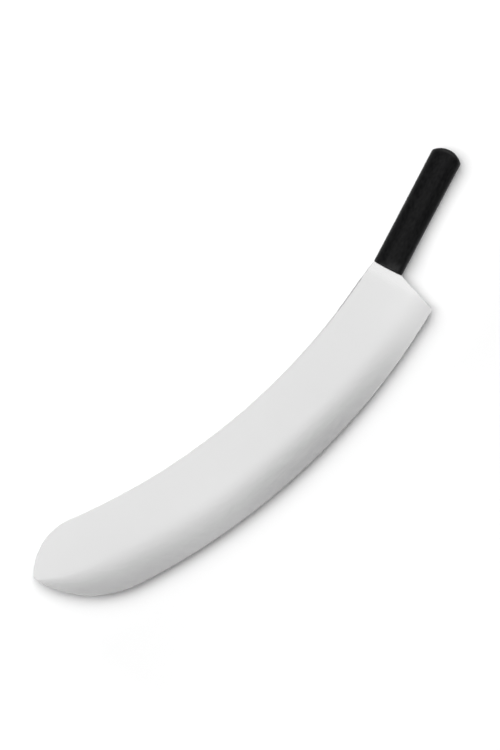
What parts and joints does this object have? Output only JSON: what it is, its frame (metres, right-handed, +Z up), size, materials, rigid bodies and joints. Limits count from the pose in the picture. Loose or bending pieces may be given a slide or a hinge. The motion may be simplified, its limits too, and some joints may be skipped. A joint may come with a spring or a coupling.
{
  "type": "mincing knife",
  "caption": "Long curved mincing knife: a wide steel blade with a convex edge, a hollow back and a round blunt nose, fixed by its tang in a straight black moulded handle.",
  "frame": {"origin": "bottom centre of the bounding box, on the surface that the handle rests on", "axes": "+X along the handle from the tip to the butt, +Y from the cutting edge to the back, +Z up, square to the blade's flat side"},
  "size_m": [0.6074, 0.2502, 0.022],
  "materials": {
    "blade_steel": "fine satin ground stainless steel",
    "handle_plastic": "black moulded plastic with a fine matt texture"
  },
  "bodies": {
    "root": {"blade": "blade_steel", "handle": "handle_plastic"}
  },
  "joints": []
}
